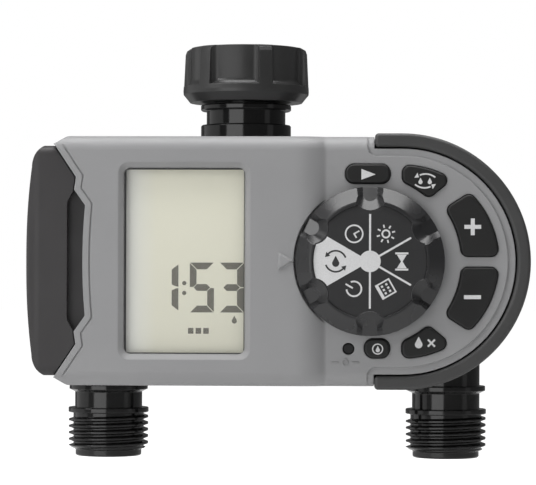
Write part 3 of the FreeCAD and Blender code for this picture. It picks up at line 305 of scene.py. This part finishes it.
def woven_steel():
    """Fine wire cloth of the inlet's filter."""
    shader = Shader("filter_cloth")
    surface = shader.surface
    heights = []
    for direction in ("X", "Y"):
        wave = shader.add("ShaderNodeTexWave", bands_direction=direction)
        wave.inputs["Scale"].default_value = 420.0
        wave.inputs["Distortion"].default_value = 0.4
        shader.join(shader.place, wave.inputs["Vector"])
        heights.append(wave.outputs["Fac"])
    weave = shader.add("ShaderNodeMath", operation="MAXIMUM")
    shader.join(heights[0], weave.inputs[0])
    shader.join(heights[1], weave.inputs[1])
    shader.join(shader.blend(weave.outputs["Value"], (0.02, 0.02, 0.02), STEEL),
                surface.inputs["Base Color"])
    shader.join(shader.spread(weave.outputs["Value"], 0.6, 0.3, 0.0, 1.0),
                surface.inputs["Roughness"])
    shader.join(shader.bump(weave.outputs["Value"], 0.00015), surface.inputs["Normal"])
    surface.inputs["Metallic"].default_value = 0.8
    return shader.material


def printed(name, colour, roughness):
    """Thin printed ink with tiny gaps and uneven cover."""
    shader = Shader(name)
    surface = shader.surface
    speck = shader.noise(0.0003, 4.0)
    shader.join(shader.blend(shader.spread(speck, 0.0, 1.0), shade(colour, 0.9),
                             shade(colour, 1.05)), surface.inputs["Base Color"])
    shader.join(shader.spread(speck, roughness * 0.9, roughness * 1.1),
                surface.inputs["Roughness"])
    shader.join(shader.bump(speck, 0.000004), surface.inputs["Normal"])
    return shader.material


def material_of_each_slot():
    return {
        "case_grey": moulded("case_grey", CASE_GREY, 0.50, edge_wear_and_highlight=1.2, mottle=0.02, depth=0.000008,
                             edge=0.0006),
        "case_black": moulded("case_black", CASE_BLACK, 0.55, depth=0.00002),
        "fitting_black": moulded("fitting_black", FITTING_BLACK, 0.11, depth=0.000002, edge_wear_and_highlight=2.0),
        "nut_black": moulded("nut_black", NUT_BLACK, 0.33, depth=0.000008, edge_wear_and_highlight=1.8),
        "bumper_rubber": moulded("bumper_rubber", BUMPER_BLACK, 0.45, depth=0.000014, edge_wear_and_highlight=1.3),
        "grip_black": moulded("grip_black", GRIP_BLACK, 0.45, depth=0.000014, edge_wear_and_highlight=1.5, gleam=0.4),
        "key_rubber": moulded("key_rubber", KEY_BLACK, 0.45, depth=0.00001, edge_wear_and_highlight=1.5, gleam=0.35),
        "dial_black": moulded("dial_black", DIAL_BLACK, 0.26, depth=0.000004, edge_wear_and_highlight=2.2),
        "dial_print": moulded("dial_print", DISC_BLACK, 0.50, depth=0.000008, edge_wear_and_highlight=1.5,
                              gleam=0.35),
        "window_clear": clear_window(),
        "lcd_glass": lcd_glass(),
        "inner_plastic": moulded("inner_plastic", NATURAL, 0.5),
        "board_green": moulded("board_green", BOARD_GREEN, 0.35, mottle=0.15),
        "chip_black": moulded("chip_black", RUBBER, 0.6),
        "steel": brushed("steel", STEEL, 0.32, (1.0, 0.05, 1.0)),
        "spring_steel": brushed("spring_steel", STEEL, 0.28, (1.0, 1.0, 0.1)),
        "brass": brushed("brass", BRASS, 0.30, (0.1, 1.0, 1.0)),
        "seal_rubber": moulded("seal_rubber", RUBBER, 0.7),
        "cell_wrap": moulded("cell_wrap", CELL_BLUE, 0.25, coat=0.4),
        "coil_copper": moulded("coil_copper", COPPER, 0.35, metallic=0.6),
        "lead_red": moulded("lead_red", LEAD_RED, 0.4),
    }


def dress_nodes():
    """Gives every node the material of its slot."""
    finishes = material_of_each_slot()
    for part in frame["record"]["subparts"]:
        node = frame["nodes"][part["node"]]
        node.data.materials.clear()
        node.data.materials.append(finishes[part["material_slot"]])
    screen = frame["nodes"]["filter_screen"]
    screen.data.materials.clear()
    screen.data.materials.append(woven_steel())


def squeeze_springs():
    """Gives each valve spring its own copy of its mesh."""
    for side in ("left", "right"):
        for piece, joint, lift in (("plunger_spring", "core_lift", 1.8),
                                   ("disc_spring", "disc_lift", 1.2)):
            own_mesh(frame["nodes"][side + "_" + piece])


# ---- Marks, drawn flat in millimetres as closed loops of (right, up) points ---------------
def arc_points(radius, start, end, centre=(0.0, 0.0)):
    """Points along an arc, about six degrees apart or closer."""
    count = max(2, round(abs(end - start) / 6))
    points = []
    for index in range(count + 1):
        turn = math.radians(start + (end - start) * index / count)
        points.append((centre[0] + radius * math.cos(turn),
                       centre[1] + radius * math.sin(turn)))
    return points


def arc_band(inner, outer, start, end, centre=(0.0, 0.0)):
    """Part of a ring."""
    there = arc_points(outer, start, end, centre)
    back = arc_points(inner, end, start, centre)
    return there + back


def ring(inner, outer):
    """Whole ring, in three bands."""
    return [arc_band(inner, outer, start, start + 120) for start in (0, 120, 240)]


def disc(radius, centre=(0.0, 0.0)):
    """Full circle of sixty sides."""
    return arc_points(radius, 0, 354, centre)


def bar(start, end, width):
    """Straight stroke with square ends."""
    along = Vector(end) - Vector(start)
    side = Vector((-along.y, along.x)).normalized() * width / 2
    first, last = Vector(start), Vector(end)
    return [tuple(first + side), tuple(last + side), tuple(last - side), tuple(first - side)]


def plus(half, width):
    """Upright cross as one outline."""
    side = width / 2
    corner = [(half, -side), (half, side), (side, side)]
    return [point for quarter in range(4) for point in turned([corner], 90 * quarter)[0]]


def drop(height, centre=(0.0, 0.0)):
    """Water drop, pointed at the top."""
    radius = height * 0.32
    round_part = arc_points(radius, 160, 380, (centre[0], centre[1] - height * 0.18))
    return round_part + [(centre[0], centre[1] + height * 0.5)]


def turned(loops, turn, right=0.0, up=0.0):
    """Loops turned by so many degrees and then moved."""
    angle = math.radians(turn)
    result = []
    for loop in loops:
        result.append([(x * math.cos(angle) - y * math.sin(angle) + right,
                        x * math.sin(angle) + y * math.cos(angle) + up) for x, y in loop])
    return result


def print_marks(name, loops, centre, front, body, material, thickness=PRINT_THICKNESS):
    """Thin plates, one for each loop, on a face whose front is at this Y and looks along -Y."""
    mesh = bmesh.new()
    back = front + ROOT * MM
    for loop in loops:
        place = [(centre.x + x * MM, back, centre.z + y * MM) for x, y in loop]
        verts = [mesh.verts.new(point) for point in place]
        face = mesh.faces.new(verts)
        face.normal_update()
        if face.normal.y > 0:
            face.normal_flip()
        raised = bmesh.ops.extrude_face_region(mesh, geom=[face])["geom"]
        moved = [item for item in raised if isinstance(item, bmesh.types.BMVert)]
        bmesh.ops.translate(mesh, verts=moved, vec=(0, -(thickness + ROOT) * MM, 0))
    data = bpy.data.meshes.new(name)
    mesh.to_mesh(data)
    mesh.free()
    data.materials.append(material)
    piece = bpy.data.objects.new(name, data)
    bpy.context.scene.collection.objects.link(piece)
    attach(piece, body)


def level_with_dial(right=0.0, up=0.0):
    """Place for a mark, given in millimetres from the part's middle and the dial's axis."""
    low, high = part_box("dial_face")
    return Vector((right * MM, 0, (low.z + high.z) / 2 + up * MM))


# ---- Dial ---------------------------------------------------------------------------------
def notch_arc(notch_turn, start, end):
    """Edge of a notch, between two directions seen from the notch's centre."""
    points = arc_points(NOTCH_BITE, start, end, (NOTCH_PLACE, 0.0))
    return turned([points], notch_turn)[0]


def wedge():
    """White sector that points left, bitten by the notches at its two corners."""
    meet = math.acos((NOTCH_PLACE ** 2 + NOTCH_BITE ** 2 - DISC_EDGE ** 2)
                     / (2 * NOTCH_PLACE * NOTCH_BITE))
    meet = 180 - math.degrees(meet)
    rim = math.degrees(math.asin(NOTCH_BITE * math.sin(math.radians(meet)) / DISC_EDGE))
    upper, lower = 180 - WEDGE_HALF_TURN, 180 + WEDGE_HALF_TURN
    loop = arc_points(HUB_RADIUS, lower, upper)
    loop += notch_arc(upper, 180, meet)
    loop += arc_points(DISC_EDGE, upper + rim, lower - rim)
    loop += notch_arc(lower, 360 - meet, 180)
    return loop


def clock_mark():
    hands = [(-0.25, 1.9), (-0.25, -0.25), (1.5, -0.25), (1.5, 0.25), (0.25, 0.25), (0.25, 1.9)]
    return ring(2.5, 3.0) + [hands]


def start_mark():
    sun = ring(0.9, 1.45)
    rays = [turned([bar((2.0, 0), (3.0, 0), 0.5)], 45 * index)[0] for index in range(8)]
    return sun + rays


def duration_mark():
    """Hourglass."""
    glass = [(-1.6, 2.2), (1.6, 2.2), (0.25, 0.0), (1.6, -2.2), (-1.6, -2.2), (-0.25, 0.0)]
    return [glass, bar((-2.1, 2.6), (2.1, 2.6), 0.6), bar((-2.1, -2.6), (2.1, -2.6), 0.6)]


def calendar_mark():
    frame_bars = [bar((-2.6, 2.1), (2.6, 2.1), 1.0), bar((-2.1, -2.35), (2.1, -2.35), 0.5),
                  bar((-2.35, -2.6), (-2.35, 1.6), 0.5), bar((2.35, -2.6), (2.35, 1.6), 0.5)]
    days = [bar((x - 0.35, y), (x + 0.35, y), 0.7) for x in (-1.2, 0, 1.2) for y in (0.7, -0.9)]
    return frame_bars + days


def off_mark():
    return [arc_band(2.1, 2.65, 125, 415), bar((0, 0.4), (0, 3.1), 0.55)]


def automatic_mark():
    """Drop inside two chasing arrows."""
    sweep, middle = 115, 3.37
    arrows = []
    for start in (20, 200):
        end = start + sweep
        arrows.append(arc_band(3.1, 3.65, start, end))
        right, up = middle * math.cos(math.radians(end)), middle * math.sin(math.radians(end))
        arrows += turned([[(-0.9, 0.0), (0.9, 0.0), (0, 1.5)]], end, right, up)
    return arrows + [drop(3.6)]


def dial_marks(white, black):
    """Hub, wedge, spokes and pictograms, and the automatic mark on top of the wedge."""
    low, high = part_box("dial_face")
    middle = (low + high) / 2
    loops = [disc(HUB_RADIUS), wedge()]
    for turn in SPOKE_TURNS:
        loops += turned([bar((HUB_RADIUS, 0), (SPOKE_END, 0), SPOKE_WIDTH)], turn)
    sectors = ((clock_mark(), 120), (start_mark(), 60), (duration_mark(), 0),
               (calendar_mark(), -60), (off_mark(), -120))
    for mark, turn in sectors:
        angle = math.radians(turn)
        loops += turned(mark, turn - 180, MARK_CIRCLE * math.cos(angle),
                        MARK_CIRCLE * math.sin(angle))
    print_marks("dial_marks", loops, middle, low.y, "dial", white)
    print_marks("dial_auto_mark", turned(automatic_mark(), 0, AUTO_PLACE), middle,
                low.y - PRINT_THICKNESS * MM, "dial", black)


# ---- Keys ---------------------------------------------------------------------------------
def station_mark():
    """Two curved arrows round a pair of drops."""
    loops = []
    for turn in (0, 180):
        arrow = [arc_band(4.5, 5.0, 50, 114, (0.2, -2.5)),
                 [(-3.5, 1.0), (-2.0, 1.15), (-2.45, 2.65)]]
        loops += turned(arrow, turn)
    return loops + [drop(2.1, (-1.5, 0.0)), drop(2.1, (1.5, 0.0))]


def manual_mark():
    """Drop and a clearing cross."""
    return [drop(3.8, (-2.0, 0.0))] + turned([plus(1.6, 0.62)], 45, 2.1, -0.2)


def rain_mark():
    return ring(1.42, 1.8) + [drop(2.1, (0.05, 0.0))]


def key_marks(white):
    """Marks at the middle of each key, or at the place given for it, and moved by a shift."""
    marks = {
        "start": ([[(-2.3, 1.75), (2.35, 0.0), (-2.3, -1.75)]], (0.2, -0.2)),
        "plus": ([plus(2.7, 1.28)], (0.0, 0.0)),
        "minus": ([bar((-2.75, 0), (2.75, 0), 1.28)], (0.0, 0.0)),
        "rain": (rain_mark(), (0.2, -0.2)),
        "station": (station_mark(), (0.0, 0.0)),
        "manual": (manual_mark(), (0.0, 0.0)),
    }
    places = {"plus": (75.5, 11.3), "minus": (75.5, -11.4), "station": (60.1, 26.1),
              "manual": (60.2, -26.1)}
    for name, (loops, shift) in marks.items():
        low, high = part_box(name + "_button")
        centre = (low + high) / 2
        if name in places:
            centre = level_with_dial(*places[name])
        print_marks(name + "_mark", turned(loops, 0, *shift), centre, low.y, name + "_key",
                    white)


def reset_mark():
    """Raised turning arrow between two bars, moulded in the panel under the reset hole."""
    housing = frame["nodes"]["front_housing"]
    low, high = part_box("reset_button")
    place = (low + high) / 2 + Vector((-1.0, 0, -4.4)) * MM
    pin_depth = 0.7   # the reset pin's front from the panel's
    loops = [arc_band(0.75, 1.15, 90, 260), arc_band(0.75, 1.15, 260, 400),
             [(-0.05, 0.4), (-0.05, 1.5), (0.85, 0.95)],
             bar((-4.5, 0), (-2.1, 0), 0.5), bar((2.1, 0), (4.5, 0), 0.5)]
    panel_front = low.y - pin_depth * MM
    print_marks("reset_mark", loops, place, panel_front, "case", housing.data.materials[0],
                RAISED_THICKNESS)


# ---- Display ------------------------------------------------------------------------------
def segment(name, left):
    """One of the seven segments of a digit, from the digit's left side."""
    w, h, t, g = DIGIT_WIDTH, DIGIT_HEIGHT, SEGMENT, SEGMENT_GAP
    half = h / 2
    shapes = {
        "a": [(g, 0), (w - g, 0), (w - t - g, -t), (t + g, -t)],
        "d": [(g, -h), (w - g, -h), (w - t - g, t - h), (t + g, t - h)],
        "g": [(0.5 * t + g, -half), (t + g, t / 2 - half), (w - t - g, t / 2 - half),
              (w - 0.5 * t - g, -half), (w - t - g, -t / 2 - half), (t + g, -t / 2 - half)],
        "b": [(w, -g), (w, -half + g), (w - t / 2, -half + g), (w - t, -half + t / 2),
              (w - t, -t - g)],
        "c": [(w, g - h), (w, -half - g), (w - t / 2, -half - g), (w - t, -half - t / 2),
              (w - t, t + g - h)],
    }
    shapes["f"] = [(w - x, y) for x, y in shapes["b"]]
    shapes["e"] = [(w - x, y) for x, y in shapes["c"]]
    return [(left + x, DIGIT_TOP + y) for x, y in shapes[name]]


def painted_shadow_frame(black):
    """Thin black frame on the lens, just inside the opening: a painted shadow of the opening's
    walls, widest at the left and top.
    """
    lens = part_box("display_window")
    left, right, half = OPENING["left"], OPENING["right"], OPENING["half"]
    inner_left, inner_right = left + SHADOW_FRAME_WIDTHS["left"], right - SHADOW_FRAME_WIDTHS["right"]
    inner_top, inner_bottom = half - SHADOW_FRAME_WIDTHS["top"], SHADOW_FRAME_WIDTHS["bottom"] - half
    loops = [[(left, -half), (inner_left, -half), (inner_left, half), (left, half)],
             [(inner_right, -half), (right, -half), (right, half), (inner_right, half)],
             [(inner_left, inner_top), (inner_right, inner_top), (inner_right, half),
              (inner_left, half)],
             [(inner_left, -half), (inner_right, -half), (inner_right, inner_bottom),
              (inner_left, inner_bottom)]]
    print_marks("painted_shadow_frame", loops, level_with_dial(), lens[0].y, "case", black)


def digit_one():
    """Two upright strokes with slanting ends."""
    left, right = ONE_LEFT, ONE_LEFT + SEGMENT
    top, middle, bottom = DIGIT_TOP, DIGIT_TOP - DIGIT_HEIGHT / 2, DIGIT_TOP - DIGIT_HEIGHT
    slope = 1.7
    upper = [(left, top - slope - 0.6), (right, top - 0.6), (right, middle + 0.2),
             (left + 1.2, middle + 0.4), (left, middle + 1.0)]
    lower = [(left, middle - 1.0), (left + 1.2, middle - 0.4), (right, middle - 0.2),
             (right, bottom + 0.6), (left, bottom + slope + 0.6)]
    return [upper, lower]


def lcd_marks(ink):
    """Time on the display, with a drop and three bars under it."""
    low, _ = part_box("lcd_panel")
    loops = [segment(part, FIVE_LEFT) for part in "afgcd"]
    loops += [segment(part, THREE_LEFT) for part in "abgcd"]
    loops += digit_one()
    loops += [disc(COLON_RADIUS, dot) for dot in COLON]
    loops.append(drop(2.6, (-1.6, -19.0)))
    loops += [bar((-16.7 + 2.5 * step, -22.7), (-14.9 + 2.5 * step, -22.7), 1.9)
              for step in range(3)]
    print_marks("lcd_marks", loops, level_with_dial(), low.y + LCD_SINK * MM, "case", ink)


# ---- Stage --------------------------------------------------------------------------------
def floor():
    """White floor under the part; it looks brighter to the camera than it lights."""
    low, _ = cad_box
    data = bpy.data.meshes.new("floor")
    reach, height = FLOOR_REACH, low.z - FLOOR_DROP
    corners = [(-reach, -reach), (reach, -reach), (reach, reach), (-reach, reach)]
    data.from_pydata([(x, y, height) for x, y in corners], [], [(0, 1, 2, 3)])
    shader = Shader("floor_white")
    cloud = shader.noise(0.4, 2.0)
    shader.join(shader.blend(cloud, shade(FLOOR_WHITE, 0.99), FLOOR_WHITE),
                shader.surface.inputs["Base Color"])
    shader.surface.inputs["Roughness"].default_value = 0.9
    shader.surface.inputs["Emission Color"].default_value = (1.0, 1.0, 1.0, 1.0)
    path = shader.add("ShaderNodeLightPath")
    lift = shader.spread(path.outputs["Is Camera Ray"], 0.0, FLOOR_LIFT, 0.0, 1.0)
    shader.join(lift, shader.surface.inputs["Emission Strength"])
    data.materials.append(shader.material)
    piece = bpy.data.objects.new("floor", data)
    bpy.context.scene.collection.objects.link(piece)


def soft_light(name, azimuth, height_angle, distance, width, height, power):
    """Soft box that faces the part, from a direction turned from the front to the right."""
    turn, rise = math.radians(azimuth), math.radians(height_angle)
    outward = Vector((math.cos(rise) * math.sin(turn), -math.cos(rise) * math.cos(turn),
                      math.sin(rise)))
    data = bpy.data.lights.new(name, "AREA")
    data.shape = "RECTANGLE"
    data.size, data.size_y = width, height
    data.energy = power
    lamp = bpy.data.objects.new(name, data)
    bpy.context.scene.collection.objects.link(lamp)
    lamp.location = (cad_box[0] + cad_box[1]) / 2 + outward * distance
    lamp.rotation_mode = "QUATERNION"
    lamp.rotation_quaternion = outward.to_track_quat("Z", "Y")


def studio():
    """Dim surroundings that the camera sees as white, and the soft boxes."""
    world = bpy.data.worlds.new("studio")
    bpy.context.scene.world = world
    world.use_nodes = True
    nodes, links = world.node_tree.nodes, world.node_tree.links
    nodes.clear()
    path = nodes.new("ShaderNodeLightPath")
    seen = nodes.new("ShaderNodeBackground")
    seen.inputs["Color"].default_value = (1, 1, 1, 1)
    seen.inputs["Strength"].default_value = 1.0
    around = nodes.new("ShaderNodeBackground")
    around.inputs["Color"].default_value = (1, 1, 1, 1)
    around.inputs["Strength"].default_value = ROOM_GLOW
    mix = nodes.new("ShaderNodeMixShader")
    out = nodes.new("ShaderNodeOutputWorld")
    links.new(path.outputs["Is Camera Ray"], mix.inputs["Fac"])
    links.new(around.outputs["Background"], mix.inputs[1])
    links.new(seen.outputs["Background"], mix.inputs[2])
    links.new(mix.outputs["Shader"], out.inputs["Surface"])
    for name, settings in SOFT_BOXES.items():
        soft_light(name, *settings)


def camera():
    data = bpy.data.cameras.new("camera")
    data.sensor_width = 36.0
    data.lens = CAMERA_LENS
    data.shift_y = CAMERA_SHIFT
    data.clip_start, data.clip_end = 0.05, 50.0
    viewer = bpy.data.objects.new("camera", data)
    bpy.context.scene.collection.objects.link(viewer)
    turn = Matrix.Rotation(math.radians(CAMERA_TURN), 4, "Z")
    level = Matrix.Rotation(math.radians(90.0), 4, "X")
    roll = Matrix.Rotation(math.radians(CAMERA_ROLL), 4, "Z")
    viewer.matrix_world = Matrix.Translation(CAMERA_PLACE) @ turn @ level @ roll
    bpy.context.scene.camera = viewer


camera()
dress_nodes()
dial_marks(printed("white_ink", PRINT_WHITE, 0.5), printed("black_ink", DISC_BLACK, 0.5))
key_marks(printed("key_ink", PRINT_WHITE, 0.6))
lcd_marks(printed("lcd_ink", LCD_DARK, 0.5))
# Painted shadow round the display's opening.
painted_shadow_frame(printed("painted_shadow_ink", RUBBER, 0.5))
reset_mark()
squeeze_springs()
floor()
studio()
bpy.context.scene.view_settings.view_transform = "Standard"
